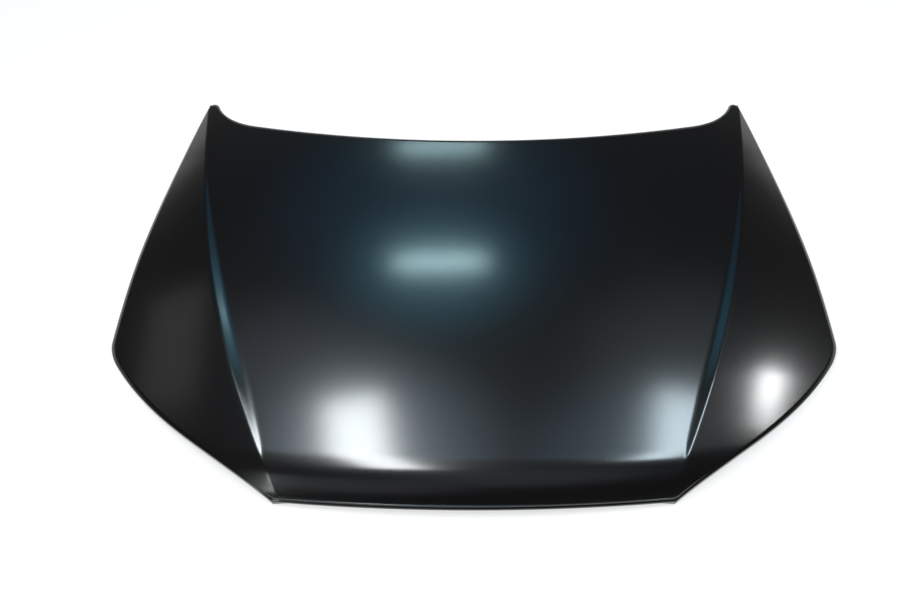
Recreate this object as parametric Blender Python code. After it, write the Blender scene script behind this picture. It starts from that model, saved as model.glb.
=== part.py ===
"""Car bonnet: a pressed steel skin hemmed round a pressed inner frame, with hinge plates and a striker.

Metres, +Z up. The bonnet lies on its edges as it would on a bench: X runs across it, -Y is its front edge
and +Y the edge at the windscreen. The origin is under its middle, on the surface that it lies on.
"""

import math

import bpy
from mathutils import Vector, geometry

# Plan outline of the skin, right half
LENGTH = 1.047
HALF_WIDTH = 0.757
FRONT_CORNER_INSET = 0.370
FRONT_BOW = 0.0215
LAMP_EDGE_DEPTH = 0.3465
LAMP_BOW_INNER = 0.0212
LAMP_BOW_OUTER = 0.0510
WIDEST_CORNER_PULL = 0.003
WIDEST_CORNER_TRIM = 0.022
WIDEST_CORNER_ROUND = 0.6
SIDE_EDGE_BOW = 0.0141
SIDE_EDGE_TAPER = 0.1055
HORN_WIDTH = 0.0283
HORN_LENGTH = 0.107
HORN_ROUND = 0.017
HORN_TIP_DROP = 0.75
HORN_LEAN_INNER = 0.3
HORN_LEAN_OUTER = -0.15
HORN_ROOT_SHARE = 0.74
HORN_ROOT_PULL = 0.52
HORN_SIDE_PULL = 0.36
HORN_SIDE_LEAN = 0.42
COWL_DEPTH = 0.177
COWL_RADIUS = 1.707

# Shape of the skin across and along
CROWN_RADIUS = 4.8
SWEEP_RADIUS = 3.2
SWEEP_TOP_Y = -0.028
ROLL_LENGTH = 0.085
ROLL_RADIUS = 0.110
RIDGE_FRONT_INSET = 0.0248
RIDGE_FRONT_THIRD = 0.634
RIDGE_REAR_THIRD = 0.852
RIDGE_ROUND = 0.0025
BAND_WIDTH = 0.0242
BAND_ANGLE = math.radians(13.0)
BAND_ANGLE_FRONT = math.radians(8.0)
BAND_TURN_SPAN = (0.165, 0.285)
BAND_FRONT_INSET = 0.086
BAND_REAR_INSET = 0.014
BAND_WIDEST_POWER = 0.6
VALLEY_ROUND = 0.008
WING_ANGLE_FRONT = math.radians(5.5)
WING_ANGLE_REAR = math.radians(16.0)
WING_RADIUS = 4.0

# Sheet, hem and lip
SKIN_THICKNESS = 0.0008
FRAME_THICKNESS = 0.0008
SEAT_GAP = 0.0003
EDGE_RADIUS = 0.005
FOLD_RADIUS = 0.0012
FRONT_LIP = 0.008
LAMP_LIP = 0.0165
SIDE_LIP = 0.008
LIP_TURN_FRONT = 0.035
LIP_TURN_BEFORE = 0.020
LIP_TURN_AFTER = 0.100
HEM_WIDTH = 0.012
HORN_HEM_WIDTH = 0.004
HORN_HEM_START = 0.015
HORN_HEM_REACH = 0.070

# Inner frame
FRAME_DEPTH = 0.022
LAND_GAP = 0.004
LAND_WIDTH = 0.016
WALL_RUN = 0.010
FLANGE_STEP = 0.004
FLANGE_RISE = 0.0015
FRAME_POINT_SPACING = 0.014
CHANNEL_INSET = 0.034
CHANNEL_FRONT_SPAN = (0.16, 0.92)
CHANNEL_LAMP_SPAN = (0.07, 0.92)
CHANNEL_SIDE_SPAN = (0.04, 0.83)
CHANNEL_REAR_SPAN = (0.147, 0.853)
CUTOUT_RADIUS = 0.020
CUTOUT_EDGE_STEP = 0.060
RIB_HALF_WIDTH = 0.041
FRONT_CUTOUT_INSET = 0.164
REAR_CUTOUT_INSET = 0.087
CROSS_RIB_SHARE = 0.515
INNER_RIB_FRONT_SHARE = 0.467
INNER_RIB_REAR_SHARE = 0.516
WING_RIB_WIDTH = 0.098
WING_SLOT_EDGE_INSET = 0.086
WING_SLOT_CORNER_INSET = 0.106
WING_SLOT_FRONT_REACH = 0.150
WING_SLOT_REAR_REACH = 0.276

# Hinge seats
HINGE_EDGE_INSET = 0.0765
HINGE_TIP_INSET = 0.211
HINGE_SEAT_DEPTH = 0.026
HINGE_SEAT_LENGTH = 0.096
HINGE_SEAT_WIDTH = 0.040
HINGE_BOLT_PITCH = 0.056
HINGE_PLATE_THICKNESS = 0.002
HINGE_PLATE_MARGIN = 0.003
SEAT_CORNER_RADIUS = 0.008
BOLT_HOLE_RADIUS = 0.0050

# Latch seat and striker
LATCH_EDGE_INSET = 0.088
LATCH_SEAT_DEPTH = 0.025
LATCH_SEAT_LENGTH = 0.150
LATCH_SEAT_WIDTH = 0.050
LATCH_PLATE_THICKNESS = 0.0015
STRIKER_PLATE_LENGTH = 0.092
STRIKER_PLATE_WIDTH = 0.036
STRIKER_PLATE_THICKNESS = 0.003
STRIKER_BOLT_PITCH = 0.066
STRIKER_ROD_RADIUS = 0.004
STRIKER_SPAN = 0.030
STRIKER_DROP = 0.030
STRIKER_BEND_RADIUS = 0.010

# Stiffening rim of the pressed plates
RIM_RUN = 0.005
RIM_RISE = 0.004

# Weld nuts and bolts
NUT_ACROSS_FLATS = 0.013
NUT_HEIGHT = 0.007
NUT_BORE_RADIUS = 0.0043
BOLT_RADIUS = 0.0038
BOLT_HEAD_HEIGHT = 0.0055
BOLT_FLANGE_RADIUS = 0.0085
BOLT_FLANGE_HEIGHT = 0.0018
BOLT_FLANGE_RIM_SHARE = 0.4
BOLT_TIP_TAPER = 0.8
BOLT_TIP_SHARE = 0.4
ROUND_SIDES = 12

# Mastic
MASTIC_RADIUS = 0.0060
MASTIC_BULGE = 1.15
MASTIC_SKIN_GAP = 0.0006
MASTIC_SIDES = 10

# Modelling
SAME_PLACE = 1e-6
MERGE_DISTANCE = 0.00005
TRIANGLE_TOLERANCE = 1e-7
CURVE_STEP = 0.001
CORNER_PULL = 0.55
CORNER_STEPS = 3
SMOOTH_ANGLE = math.radians(40.0)
SHEET_SMOOTH_ANGLE = math.radians(30.0)


def clear_scene():
    for old in list(bpy.data.objects):
        bpy.data.objects.remove(old, do_unlink=True)


def finish(name, colour, roughness, metallic):
    """A Principled material."""
    material = bpy.data.materials.new(name)
    material.use_nodes = True
    shader = material.node_tree.nodes["Principled BSDF"]
    shader.inputs["Base Color"].default_value = (*colour, 1.0)
    shader.inputs["Roughness"].default_value = roughness
    shader.inputs["Metallic"].default_value = metallic
    return material


def mix(a, b, t):
    return a + (b - a) * t


def ease(value, start, end):
    """0 before start, 1 after end, a smooth turn between."""
    t = min(1.0, max(0.0, (value - start) / (end - start)))
    return t * t * (3.0 - 2.0 * t)


def soft_ramp(distance, softness):
    """0 on one side of a crease and the distance on the other, rounded by a parabola between."""
    if distance <= -softness:
        return 0.0
    if distance >= softness:
        return distance
    return (distance + softness) ** 2 / (4.0 * softness)


def bezier(start, pull_start, pull_end, end, t):
    s = 1.0 - t
    return s**3 * start + 3.0 * s * s * t * pull_start + 3.0 * s * t * t * pull_end + t**3 * end


def steps(*stretches):
    """Values from 0 to 1 in stretches of (end, count), evenly spaced in each."""
    values = [0.0]
    for end, count in stretches:
        start = values[-1]
        values += [mix(start, end, (i + 1) / count) for i in range(count)]
    return values


# Plan curves of the right half, as (x, y)

FRONT_Y = -LENGTH / 2.0
HORN_TIP_Y = LENGTH / 2.0
COWL_CENTRE_Y = HORN_TIP_Y - COWL_DEPTH
FRONT_CORNER_X = HALF_WIDTH - FRONT_CORNER_INSET
HORN_OUTER_X = HALF_WIDTH - SIDE_EDGE_TAPER
HORN_ROOT_X = HORN_OUTER_X - HORN_WIDTH - HORN_LENGTH
RIDGE_FRONT_X = FRONT_CORNER_X - RIDGE_FRONT_INSET
BAND_FRONT_Y = FRONT_Y + BAND_FRONT_INSET
BAND_REAR_Y = COWL_CENTRE_Y - BAND_REAR_INSET


def front_edge_y(x):
    return FRONT_Y + FRONT_BOW * (x / FRONT_CORNER_X) ** 2


def cowl_edge_y(x):
    return COWL_CENTRE_Y + x * x / (2.0 * COWL_RADIUS)


FRONT_CORNER = Vector((FRONT_CORNER_X, front_edge_y(FRONT_CORNER_X)))
WIDEST_CORNER = Vector((HALF_WIDTH + WIDEST_CORNER_PULL, FRONT_Y + LAMP_EDGE_DEPTH))
HORN_OUTER = Vector((HORN_OUTER_X, HORN_TIP_Y - HORN_ROUND * HORN_TIP_DROP))
HORN_INNER = HORN_OUTER - Vector((HORN_WIDTH, 0.0))


def bowed_edge(start, end, bow_start, bow_end, t):
    """A shallow curve from start to end that bows out to the right of its chord."""
    chord = end - start
    out = Vector((chord.y, -chord.x)).normalized()
    pull_start = start + chord / 3.0 + out * bow_start
    pull_end = start + chord * 2.0 / 3.0 + out * bow_end
    return bezier(start, pull_start, pull_end, end, t)


def lamp_edge(t):
    return bowed_edge(FRONT_CORNER, WIDEST_CORNER, LAMP_BOW_INNER, LAMP_BOW_OUTER, t)


def side_edge(t):
    pull = SIDE_EDGE_BOW * 4.0 / 3.0
    return bowed_edge(WIDEST_CORNER, HORN_OUTER, pull, pull, t)


def outer_edge(v):
    """Lamp edge, rounded widest corner and side edge, with v running from the front corner to the horn."""
    run = HORN_OUTER.y - FRONT_CORNER.y
    corner_v = (WIDEST_CORNER.y - FRONT_CORNER.y) / run
    trim = WIDEST_CORNER_TRIM / run
    if v <= corner_v - trim:
        return lamp_edge(v / corner_v)
    if v >= corner_v + trim:
        return side_edge((v - corner_v) / (1.0 - corner_v))
    before = lamp_edge((corner_v - trim) / corner_v)
    after = side_edge(trim / (1.0 - corner_v))
    t = (v - corner_v + trim) / (2.0 * trim)
    pull_before = before.lerp(WIDEST_CORNER, WIDEST_CORNER_ROUND)
    pull_after = after.lerp(WIDEST_CORNER, WIDEST_CORNER_ROUND)
    return bezier(before, pull_before, pull_after, after, t)


def cowl_edge(u):
    """The edge at the windscreen, with u running from the mid line to the inner corner of the horn."""
    if u <= HORN_ROOT_SHARE:
        x = HORN_ROOT_X * u / HORN_ROOT_SHARE
        return Vector((x, cowl_edge_y(x)))
    root = Vector((HORN_ROOT_X, cowl_edge_y(HORN_ROOT_X)))
    along = Vector((1.0, HORN_ROOT_X / COWL_RADIUS)) * HORN_LENGTH * HORN_ROOT_PULL
    up_horn = Vector((HORN_SIDE_LEAN, 1.0)) * HORN_LENGTH * HORN_SIDE_PULL
    t = (u - HORN_ROOT_SHARE) / (1.0 - HORN_ROOT_SHARE)
    return bezier(root, root + along, HORN_INNER - up_horn, HORN_INNER, t)


def horn_tip(s):
    """The rounded tip of the horn, with s running from its inner to its outer side."""
    pull_inner = HORN_INNER + Vector((HORN_LEAN_INNER, 1.0)) * HORN_ROUND
    pull_outer = HORN_OUTER + Vector((HORN_LEAN_OUTER, 1.0)) * HORN_ROUND
    return bezier(HORN_INNER, pull_inner, pull_outer, HORN_OUTER, s)


def ridge_x(y):
    """The sharp ridge in plan, from beside the front corner to the outer side of the horn."""
    front_third = mix(RIDGE_FRONT_X, HORN_OUTER_X, RIDGE_FRONT_THIRD)
    rear_third = mix(RIDGE_FRONT_X, HORN_OUTER_X, RIDGE_REAR_THIRD)
    return bezier(RIDGE_FRONT_X, front_third, rear_third, HORN_OUTER_X, 0.5 + y / LENGTH)


def band_width(y):
    """Width of the narrow facet inside the ridge, which runs out to nothing at both of its ends."""
    t = (y - BAND_FRONT_Y) / (BAND_REAR_Y - BAND_FRONT_Y)
    if t <= 0.0 or t >= 1.0:
        return 0.0
    return BAND_WIDTH * math.sin(math.pi * t**BAND_WIDEST_POWER)


def band_slope(y):
    """Rise of the facet across its width, gentler towards its front end."""
    start, end = (FRONT_Y + inset for inset in BAND_TURN_SPAN)
    return math.tan(mix(BAND_ANGLE_FRONT, BAND_ANGLE, ease(y, start, end)))


def skin_height(x, y):
    """Height of the skin's outer surface over the top of its crown."""
    x = abs(x)
    height = -x * x / (2.0 * CROWN_RADIUS) - (y - SWEEP_TOP_Y) ** 2 / (2.0 * SWEEP_RADIUS)
    ridge = ridge_x(y)
    width = band_width(y)
    softness = max(RIDGE_ROUND, VALLEY_ROUND * width / BAND_WIDTH)
    rise = band_slope(y)
    height += rise * soft_ramp(x - ridge + width, softness)
    beyond = soft_ramp(x - ridge, RIDGE_ROUND)
    wing_angle = mix(WING_ANGLE_FRONT, WING_ANGLE_REAR, ease(y, 0.0, HORN_TIP_Y))
    height -= (rise + math.tan(wing_angle)) * beyond
    height -= beyond * beyond / (2.0 * WING_RADIUS)
    rolled = ROLL_LENGTH - (y - front_edge_y(x))
    if rolled > 0.0:
        height -= ROLL_RADIUS - math.sqrt(ROLL_RADIUS**2 - rolled**2)
    return height


# Grid of the skin: columns run from front to rear, rows from the mid line to the outer edge

ROWS = steps((0.09, 5), (0.30, 5), (0.35, 4), (0.92, 9), (1.0, 2))
FIELD_COLUMNS = steps((0.66, 5), (1.0, 6))
WING_COLUMNS = steps((1.0, 5))
RIDGE_TIP_SHARE = 0.80
TIP_TURN_SHARE = 0.85
BAND_LINE_SHARE = 0.65
RIDGE_LINE_SHARE = 0.8
VALLEY_FOOT_SHARE = 0.7
FOOT_ROUNDS = 3.0


def crease_line(offset, horn_share, v):
    """A grid line that runs beside the ridge at offset(v) from it, and ends on the horn's tip."""
    tip_line = horn_tip(horn_share)
    front_x = ridge_x(front_edge_y(RIDGE_FRONT_X)) + offset(0.0)
    y = mix(front_edge_y(front_x), tip_line.y, v)
    to_tip = ease(v, TIP_TURN_SHARE, 1.0)
    return Vector((ridge_x(y) + mix(offset(v), tip_line.x - ridge_x(tip_line.y), to_tip), y))


def crease_lines():
    """Grid lines at the foot of the band, at its start and on either side of the ridge."""
    def foot(v):
        y = mix(front_edge_y(RIDGE_FRONT_X), HORN_TIP_Y, v)
        return max(band_width(y), RIDGE_ROUND * FOOT_ROUNDS)

    return [
        (lambda v: -foot(v) - VALLEY_ROUND * VALLEY_FOOT_SHARE, 0.0),
        (lambda v: -foot(v) * BAND_LINE_SHARE, RIDGE_TIP_SHARE * (1.0 - BAND_LINE_SHARE)),
        (lambda v: -RIDGE_ROUND, RIDGE_TIP_SHARE * RIDGE_LINE_SHARE),
        (lambda v: RIDGE_ROUND, RIDGE_TIP_SHARE),
    ]


def field_point(u, v, valley):
    """A patch blended between the mid line, the valley line, the front edge and the windscreen edge."""
    def front(share):
        x = valley(0.0).x * share
        return Vector((x, front_edge_y(x)))

    def middle(share):
        return Vector((0.0, mix(FRONT_Y, COWL_CENTRE_Y, share)))

    across = front(u).lerp(cowl_edge(u), v)
    along = middle(v).lerp(valley(v), u)
    corners = front(0.0).lerp(front(1.0), u).lerp(cowl_edge(0.0).lerp(cowl_edge(1.0), u), v)
    return across + along - corners


def plan_grid():
    """Plan points of the right half, one list for each row."""
    lines = crease_lines()

    def valley(v):
        return crease_line(*lines[0], v)

    grid = []
    for v in ROWS:
        row = [field_point(u, v, valley) for u in FIELD_COLUMNS]
        row += [crease_line(*line, v) for line in lines[1:]]
        start = row[-1]
        if v < 1.0:
            row += [start.lerp(outer_edge(v), u) for u in WING_COLUMNS[1:]]
        else:
            row += [horn_tip(mix(RIDGE_TIP_SHARE, 1.0, u)) for u in WING_COLUMNS[1:]]
        grid.append(row)
    return grid


def edge_indices():
    """Grid places along the edge of the right half, from the middle front round to the middle rear."""
    last_row = len(ROWS) - 1
    last_column = len(FIELD_COLUMNS) + 3 + len(WING_COLUMNS) - 2
    front = [(0, i) for i in range(last_column)]
    side = [(j, last_column) for j in range(last_row)]
    rear = [(last_row, i) for i in range(last_column, -1, -1)]
    return front + side + rear


def edge_normals(points):
    """Outward plan direction at each point of the half edge."""
    normals = []
    for i, point in enumerate(points):
        before = points[i - 1] if i > 0 else Vector((-points[1].x, points[1].y))
        after = points[i + 1] if i < len(points) - 1 else Vector((-points[-2].x, points[-2].y))
        into = (point - before).normalized()
        onward = (after - point).normalized()
        along = (into + onward).normalized()
        normals.append(Vector((along.y, -along.x)))
    return normals


def well_apart(outline):
    """The edge points that lie well apart, with the front corner among them."""
    kept = []
    for point in outline:
        if (point - FRONT_CORNER).length < SAME_PLACE:
            while (kept[-1] - point).length < FRAME_POINT_SPACING:
                kept.pop()
        elif kept and (kept[-1] - point).length < FRAME_POINT_SPACING:
            continue
        kept.append(point)
    return kept


def lip_drop(point):
    """How far the turned-down edge hangs below the surface."""
    front_share = 1.0 - ease(point.x, FRONT_CORNER_X - LIP_TURN_FRONT, FRONT_CORNER_X)
    side_share = ease(point.y, WIDEST_CORNER.y - LIP_TURN_BEFORE, WIDEST_CORNER.y + LIP_TURN_AFTER)
    if point.y <= FRONT_CORNER.y:
        return mix(LAMP_LIP, FRONT_LIP, front_share)
    return mix(LAMP_LIP, SIDE_LIP, side_share)


def hem_width(point):
    """Width of the folded hem, which narrows in the tip of the horn."""
    away = (point - HORN_INNER.lerp(HORN_OUTER, 0.5)).length
    return mix(HORN_HEM_WIDTH, HEM_WIDTH, ease(away, HORN_HEM_START, HORN_HEM_REACH))


def hem_bottom(point):
    return skin_height(point.x, point.y) - lip_drop(point)


# Objects

def add_object(name, vertices, faces, material, root, smooth_angle=SMOOTH_ANGLE):
    mesh = bpy.data.meshes.new(name)
    mesh.from_pydata([tuple(v) for v in vertices], [], faces)
    mesh.validate()
    mesh.shade_smooth()
    mesh.set_sharp_from_angle(angle=smooth_angle)
    mesh.materials.append(material)
    part = bpy.data.objects.new(name, mesh)
    bpy.context.scene.collection.objects.link(part)
    part.parent = root
    return part


def thicken(part, thickness):
    """Gives a pressed sheet its thickness, on the side away from its faces' normals."""
    solid = part.modifiers.new("thickness", "SOLIDIFY")
    solid.thickness = thickness
    solid.offset = -1.0
    solid.use_even_offset = True
    solid.use_quality_normals = True


def outer_panel(material, root):
    """The skin: one pressed sheet, turned down all round and folded back under itself as a hem."""
    grid = plan_grid()
    edge = edge_indices()
    outline = [grid[j][i] for j, i in edge]
    normals = edge_normals(outline)

    for (j, i), normal in zip(edge, normals):
        grid[j][i] = grid[j][i] - normal * EDGE_RADIUS
    wing_start = len(grid[0]) - len(WING_COLUMNS)
    for row in grid[1:-1]:
        for i, u in enumerate(WING_COLUMNS):
            row[wing_start + i] = row[wing_start].lerp(row[-1], u)

    vertices = []
    index = {}
    for j, row in enumerate(grid):
        for i, point in enumerate(row):
            index[j, i] = len(vertices)
            vertices.append(Vector((point.x, point.y, skin_height(point.x, point.y))))
    faces = []
    for j in range(len(grid) - 1):
        for i in range(len(grid[0]) - 1):
            faces.append((index[j, i], index[j, i + 1], index[j + 1, i + 1], index[j + 1, i]))

    half_turn = 1.0 - math.sqrt(0.5)
    previous = [index[place] for place in edge]
    for ring in range(5):
        current = []
        for point, normal in zip(outline, normals):
            surface = skin_height(point.x, point.y)
            bottom = surface - lip_drop(point)
            inset, height = (
                (EDGE_RADIUS * half_turn, mix(surface, surface - EDGE_RADIUS, half_turn)),
                (0.0, surface - EDGE_RADIUS),
                (0.0, bottom + FOLD_RADIUS),
                (FOLD_RADIUS, bottom),
                (hem_width(point), bottom),
            )[ring]
            place = point - normal * inset
            current.append(len(vertices))
            vertices.append(Vector((place.x, place.y, height)))
        for k in range(len(current) - 1):
            faces.append((previous[k], current[k], current[k + 1], previous[k + 1]))
        previous = current

    for vertex in vertices:
        if abs(vertex.x) < SAME_PLACE:
            vertex.x = 0.0
    part = add_object("outer_panel", vertices, faces, material, root)
    mirror = part.modifiers.new("other half", "MIRROR")
    mirror.use_clip = True
    mirror.merge_threshold = MERGE_DISTANCE
    thicken(part, SKIN_THICKNESS)
    return part


def inside(point, loop):
    """Whether a plan point lies inside a closed loop."""
    found = False
    for a, b in zip(loop, loop[1:] + loop[:1]):
        if (a.y > point.y) != (b.y > point.y):
            if point.x < a.x + (point.y - a.y) * (b.x - a.x) / (b.y - a.y):
                found = not found
    return found


def sheet(name, boundary, features, openings, thickness, material, root):
    """A pressed sheet from plan loops with heights: features shape it and openings are cut out."""
    loops = [boundary] + features + openings
    flat = []
    heights = []
    constraints = []
    for loop in loops:
        first = len(flat)
        for k, point in enumerate(loop):
            flat.append(Vector((point.x, point.y)))
            heights.append(point.z)
            constraints.append((first + k, first + (k + 1) % len(loop)))
    mesh = geometry.delaunay_2d_cdt(flat, constraints, [], 0, TRIANGLE_TOLERANCE, True)
    plan, _, triangles, origins, _, _ = mesh
    vertices = [Vector((p.x, p.y, heights[ids[0]])) for p, ids in zip(plan, origins)]
    faces = []
    for triangle in triangles:
        centre = sum((plan[i] for i in triangle), Vector((0.0, 0.0))) / 3.0
        if inside(centre, boundary) and not any(inside(centre, hole) for hole in openings):
            faces.append(tuple(triangle))
    part = add_object(name, vertices, faces, material, root, SHEET_SMOOTH_ANGLE)
    thicken(part, thickness)
    return part


def rounded_loop(corners, radius, grow):
    """A polygon, drawn anticlockwise, moved outwards by grow, with rounded corners and divided edges."""
    count = len(corners)
    moved = []
    for k in range(count):
        before, here, after = corners[k - 1], corners[k], corners[(k + 1) % count]
        into = (here - before).normalized()
        onward = (after - here).normalized()
        out_a = Vector((into.y, -into.x))
        out_b = Vector((onward.y, -onward.x))
        bisector = (out_a + out_b).normalized()
        moved.append(here + bisector * (grow / bisector.dot(out_a)))
    loop = []
    for k in range(count):
        before, here, after = moved[k - 1], moved[k], moved[(k + 1) % count]
        into = (here - before).normalized()
        onward = (after - here).normalized()
        turn = into.angle(onward)
        trim = (radius + grow) * math.tan(turn / 2.0)
        arc_start = here - into * trim
        arc_end = here + onward * trim
        if loop:
            last = loop[-1]
            pieces = max(1, math.ceil((arc_start - last).length / CUTOUT_EDGE_STEP))
            loop += [last.lerp(arc_start, i / pieces) for i in range(1, pieces)]
        pull_start = arc_start.lerp(here, CORNER_PULL)
        pull_end = arc_end.lerp(here, CORNER_PULL)
        for i in range(CORNER_STEPS + 1):
            loop.append(bezier(arc_start, pull_start, pull_end, arc_end, i / CORNER_STEPS))
    pieces = max(1, math.ceil((loop[0] - loop[-1]).length / CUTOUT_EDGE_STEP))
    last = loop[-1]
    loop += [last.lerp(loop[0], i / pieces) for i in range(1, pieces)]
    return loop


def circle(centre, radius, sides=ROUND_SIDES):
    angles = [2.0 * math.pi * (k + 0.5) / sides for k in range(sides)]
    return [centre + Vector((math.cos(a), math.sin(a))) * radius for a in angles]


def rectangle(centre, size_x, size_y):
    half_x, half_y = size_x / 2.0, size_y / 2.0
    signs = ((-1, -1), (1, -1), (1, 1), (-1, 1))
    return [centre + Vector((sx * half_x, sy * half_y)) for sx, sy in signs]


def at_height(loop, height):
    """Plan loop to 3-D loop: height is a number, or a function of x and y."""
    if callable(height):
        return [Vector((p.x, p.y, height(p.x, p.y))) for p in loop]
    return [Vector((p.x, p.y, height)) for p in loop]


def mirrored(loop):
    flipped = [point.copy() for point in reversed(loop)]
    for point in flipped:
        point.x = -point.x
    return flipped


# Heights of the inner frame's upper surface

LAND_TOP_DROP = SKIN_THICKNESS + LAND_GAP
HINGE_CENTRE = HORN_OUTER - Vector((HINGE_EDGE_INSET, HINGE_TIP_INSET))
LATCH_CENTRE = Vector((0.0, FRONT_Y + LATCH_EDGE_INSET))
HINGE_SEAT_TOP = skin_height(*HINGE_CENTRE) - HINGE_SEAT_DEPTH
LATCH_SEAT_TOP = skin_height(*LATCH_CENTRE) - LATCH_SEAT_DEPTH
FRONT_CUTOUT_Y = FRONT_Y + FRONT_CUTOUT_INSET
REAR_CUTOUT_Y = COWL_CENTRE_Y - REAR_CUTOUT_INSET
CROSS_RIB_Y = mix(FRONT_CUTOUT_Y, REAR_CUTOUT_Y, CROSS_RIB_SHARE)


def land_height(x, y):
    return skin_height(x, y) - LAND_TOP_DROP


def floor_height(x, y):
    return skin_height(x, y) - FRAME_DEPTH


def outer_cutout_x(y):
    """Outer side of the outer cut-outs: it runs from behind the front corner to the root of the horn."""
    return mix(FRONT_CORNER_X, HORN_ROOT_X, (y - FRONT_CUTOUT_Y) / (REAR_CUTOUT_Y - FRONT_CUTOUT_Y))


def inner_rib_x(y):
    """Middle of the rib between the inner and outer cut-outs."""
    share = mix(
        INNER_RIB_FRONT_SHARE,
        INNER_RIB_REAR_SHARE,
        (y - FRONT_CUTOUT_Y) / (REAR_CUTOUT_Y - FRONT_CUTOUT_Y),
    )
    return outer_cutout_x(y) * share


def inwards(curve, t, distance):
    """A point at a distance inside an edge that runs anticlockwise."""
    ahead = (curve(t + CURVE_STEP) - curve(t - CURVE_STEP)).normalized()
    return curve(t) + Vector((-ahead.y, ahead.x)) * distance


def cutouts():
    """Corners of the cut-outs of the right half, each drawn anticlockwise."""
    found = []
    spans = ((FRONT_CUTOUT_Y, CROSS_RIB_Y - RIB_HALF_WIDTH), (CROSS_RIB_Y + RIB_HALF_WIDTH, REAR_CUTOUT_Y))
    for front, rear in spans:
        found.append([
            Vector((RIB_HALF_WIDTH, front)),
            Vector((inner_rib_x(front) - RIB_HALF_WIDTH, front)),
            Vector((inner_rib_x(rear) - RIB_HALF_WIDTH, rear)),
            Vector((RIB_HALF_WIDTH, rear)),
        ])
        found.append([
            Vector((inner_rib_x(front) + RIB_HALF_WIDTH, front)),
            Vector((outer_cutout_x(front), front)),
            Vector((outer_cutout_x(rear), rear)),
            Vector((inner_rib_x(rear) + RIB_HALF_WIDTH, rear)),
        ])
    lamp_run = (WIDEST_CORNER - FRONT_CORNER).length
    side_run = (HORN_OUTER - WIDEST_CORNER).length
    slot_front = inwards(lamp_edge, 1.0 - WING_SLOT_FRONT_REACH / lamp_run, WING_SLOT_EDGE_INSET)
    slot_rear = inwards(side_edge, WING_SLOT_REAR_REACH / side_run, WING_SLOT_EDGE_INSET)
    found.append([
        Vector((outer_cutout_x(slot_front.y) + WING_RIB_WIDTH, slot_front.y)),
        slot_front,
        WIDEST_CORNER - Vector((WING_SLOT_CORNER_INSET, 0.0)),
        slot_rear,
        Vector((outer_cutout_x(slot_rear.y) + WING_RIB_WIDTH, slot_rear.y)),
    ])
    return found


def channel_outline():
    """Outer foot of the channel round the frame, right half, from the middle front to the middle rear."""
    def front(t):
        x = FRONT_CORNER_X * t
        return Vector((x, front_edge_y(x)))

    def rear(t):
        return cowl_edge(1.0 - t)

    points = [Vector((0.0, FRONT_Y + CHANNEL_INSET))]
    for curve, span, count in (
        (front, CHANNEL_FRONT_SPAN, 6),
        (lamp_edge, CHANNEL_LAMP_SPAN, 8),
        (side_edge, CHANNEL_SIDE_SPAN, 8),
        (rear, CHANNEL_REAR_SPAN, 8),
    ):
        points += [inwards(curve, mix(*span, k / (count - 1)), CHANNEL_INSET) for k in range(count)]
    points.append(Vector((0.0, COWL_CENTRE_Y - CHANNEL_INSET)))
    return points


def whole_loop(half):
    """Joins a half loop, which starts and ends on the mid line, with its mirror image."""
    return half + [Vector((-p.x, *p[1:])) for p in reversed(half[1:-1])]


def flange_height(point):
    """Upper face of the frame's flange, which lies on the folded hem."""
    return hem_bottom(point) + SKIN_THICKNESS + SEAT_GAP + FRAME_THICKNESS


def inner_frame(material, root):
    """The frame: one pressed sheet with a flange in the hem, channels, lands and seats."""
    grid = plan_grid()
    outline = [grid[j][i] for j, i in edge_indices()]
    flange_edge = []
    for point, normal in zip(outline, edge_normals(outline)):
        edge = point - normal * (SKIN_THICKNESS + 2.0 * SEAT_GAP)
        flange_edge.append(Vector((edge.x, edge.y, flange_height(point))))
    outline = well_apart(outline)
    flange_foot = []
    for point, normal in zip(outline, edge_normals(outline)):
        foot = point - normal * (hem_width(point) + FLANGE_STEP)
        flange_foot.append(Vector((foot.x, foot.y, flange_height(point) + FLANGE_RISE)))
    for half in (flange_edge, flange_foot):
        half[0].x = 0.0
        half[-1].x = 0.0

    features = [whole_loop(flange_foot), at_height(whole_loop(channel_outline()), floor_height)]
    openings = []

    for corners in cutouts():
        for loops, grow, height in (
            (openings, 0.0, land_height),
            (features, LAND_WIDTH, land_height),
            (features, LAND_WIDTH + WALL_RUN, floor_height),
        ):
            loop = at_height(rounded_loop(corners, CUTOUT_RADIUS, grow), height)
            loops += [loop, mirrored(loop)]

    hinge_seat = rectangle(HINGE_CENTRE, HINGE_SEAT_WIDTH, HINGE_SEAT_LENGTH)
    for grow, height in ((0.0, HINGE_SEAT_TOP), (WALL_RUN, floor_height)):
        loop = at_height(rounded_loop(hinge_seat, SEAT_CORNER_RADIUS, grow), height)
        features += [loop, mirrored(loop)]
    for end in (-0.5, 0.5):
        hole = circle(HINGE_CENTRE + Vector((0.0, end * HINGE_BOLT_PITCH)), BOLT_HOLE_RADIUS)
        loop = at_height(hole, HINGE_SEAT_TOP)
        openings += [loop, mirrored(loop)]

    latch_seat = rectangle(LATCH_CENTRE, LATCH_SEAT_LENGTH, LATCH_SEAT_WIDTH)
    features.append(at_height(rounded_loop(latch_seat, SEAT_CORNER_RADIUS, 0.0), LATCH_SEAT_TOP))
    features.append(at_height(rounded_loop(latch_seat, SEAT_CORNER_RADIUS, WALL_RUN), floor_height))
    for side in (-0.5, 0.5):
        hole = circle(LATCH_CENTRE + Vector((side * STRIKER_BOLT_PITCH, 0.0)), BOLT_HOLE_RADIUS)
        openings.append(at_height(hole, LATCH_SEAT_TOP))

    boundary = whole_loop(flange_edge)
    return sheet("inner_frame", boundary, features, openings, FRAME_THICKNESS, material, root)


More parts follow.
